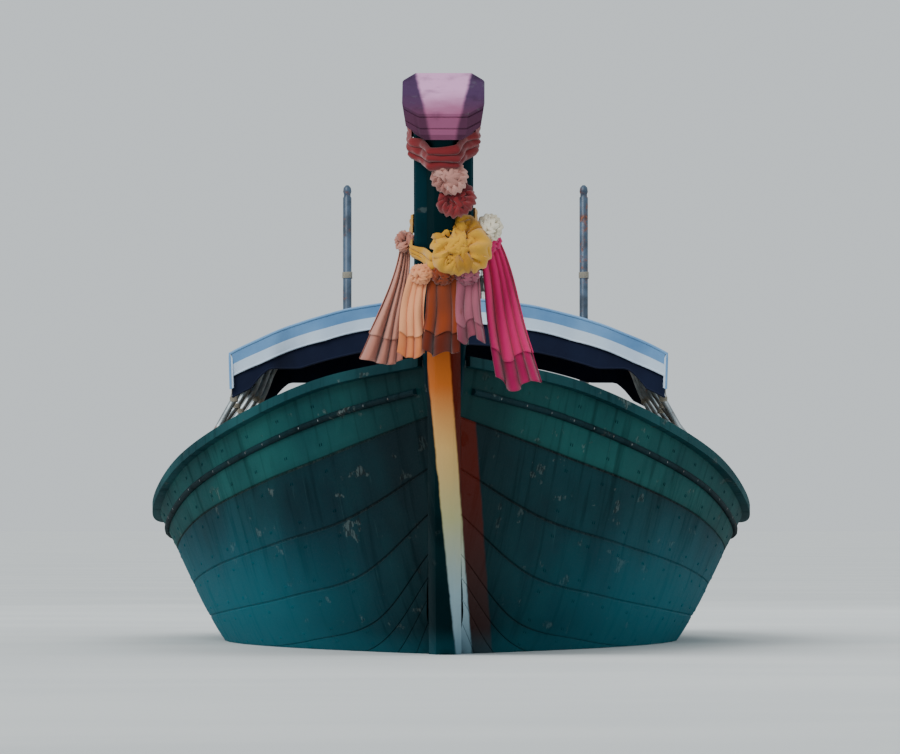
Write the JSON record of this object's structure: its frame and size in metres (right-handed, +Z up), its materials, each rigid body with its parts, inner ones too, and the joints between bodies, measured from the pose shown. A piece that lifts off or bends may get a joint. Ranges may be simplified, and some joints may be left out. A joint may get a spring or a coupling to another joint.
{
  "type": "long-tail boat",
  "caption": "Slender open wooden passenger boat with a tall prow, a low arched canopy and a swivelling motor whose long shaft carries the propeller astern.",
  "frame": {"origin": "on the centreline amidships, in the plane of the water that the boat floats in", "axes": "-Y towards the bow, +Y astern along the propeller shaft, +X to port, +Z up"},
  "size_m": [2.2956, 13.1496, 2.3207],
  "materials": {
    "hull_paint": "satin",
    "rail_paint": "satin",
    "stem_paint": "satin",
    "prow_paint": "satin",
    "head_paint": "satin",
    "bare_wood": "matte",
    "deck_wood": "matte",
    "canopy_cloth": "matte",
    "galvanised_tube": "satin",
    "painted_steel": "satin",
    "cast_iron": "matte",
    "cast_aluminium": "satin",
    "filter_shell": "satin",
    "bronze": "satin",
    "black_rubber": "matte",
    "tank_plastic": "satin",
    "red_cloth": "matte",
    "yellow_cloth": "matte",
    "magenta_cloth": "matte",
    "orange_cloth": "matte",
    "salmon_cloth": "matte"
  },
  "bodies": {
    "hull": {"hull_bottom_fore": "hull_paint", "hull_bottom_mid": "hull_paint", "hull_bottom_aft": "hull_paint", "topside_port_fore": "hull_paint", "topside_port_mid": "hull_paint", "topside_port_aft": "hull_paint", "topside_starboard_fore": "hull_paint", "topside_starboard_mid": "hull_paint", "topside_starboard_aft": "hull_paint", "transom": "rail_paint", "keel": "hull_paint", "stem": "stem_paint", "prow_post": "prow_paint", "prow_head": "head_paint", "gunwale_port_fore": "rail_paint", "gunwale_port_mid": "rail_paint", "gunwale_port_aft": "rail_paint", "gunwale_starboard_fore": "rail_paint", "gunwale_starboard_mid": "rail_paint", "gunwale_starboard_aft": "rail_paint", "floorboards": "deck_wood", "foredeck": "deck_wood", "bow_bitt": "bare_wood", "thwart_1": "deck_wood", "thwart_2": "deck_wood", "thwart_3": "deck_wood", "thwart_4": "deck_wood", "thwart_5": "deck_wood", "stern_deck": "deck_wood", "canopy_cover": "canopy_cloth", "canopy_batten": "bare_wood", "canopy_hoop_1": "galvanised_tube", "canopy_hoop_2": "galvanised_tube", "canopy_hoop_3": "galvanised_tube", "canopy_hoop_4": "galvanised_tube", "canopy_hoop_5": "galvanised_tube", "pole_port": "painted_steel", "pole_starboard": "painted_steel", "garland": "red_cloth", "scarf_knot": "yellow_cloth", "scarf_magenta": "magenta_cloth", "scarf_salmon": "salmon_cloth", "scarf_orange": "orange_cloth", "engine_beam": "bare_wood", "engine_pedestal": "painted_steel", "fuel_tank": "tank_plastic"},
    "swivel": {"swivel_yoke": "painted_steel"},
    "motor": {"engine_cradle": "painted_steel", "engine_block": "cast_iron", "cylinder_head": "cast_aluminium", "gearbox": "cast_aluminium", "belt_drive": "black_rubber", "alternator": "cast_aluminium", "air_cleaner": "filter_shell", "exhaust": "galvanised_tube", "tiller": "galvanised_tube", "tail_tube": "galvanised_tube", "tail_brace": "galvanised_tube", "propeller_guard": "galvanised_tube"},
    "rotor": {"propeller": "bronze"}
  },
  "joints": [
    {"name": "motor_swing", "type": "hinge", "parent": "hull", "child": "swivel", "pos_m": [0, 4.28, 0.84], "axis": [0, 0, 1], "range_deg": [-60, 60]},
    {"name": "motor_tilt", "type": "hinge", "parent": "swivel", "child": "motor", "pos_m": [0, 4.28, 1.05], "axis": [1, 0, 0], "range_deg": [-9, 17]},
    {"name": "propeller_spin", "type": "hinge", "parent": "motor", "child": "rotor", "pos_m": [0, 7.5658, 0.2529], "axis": [0, 0.9636, -0.2672], "continuous": true}
  ]
}
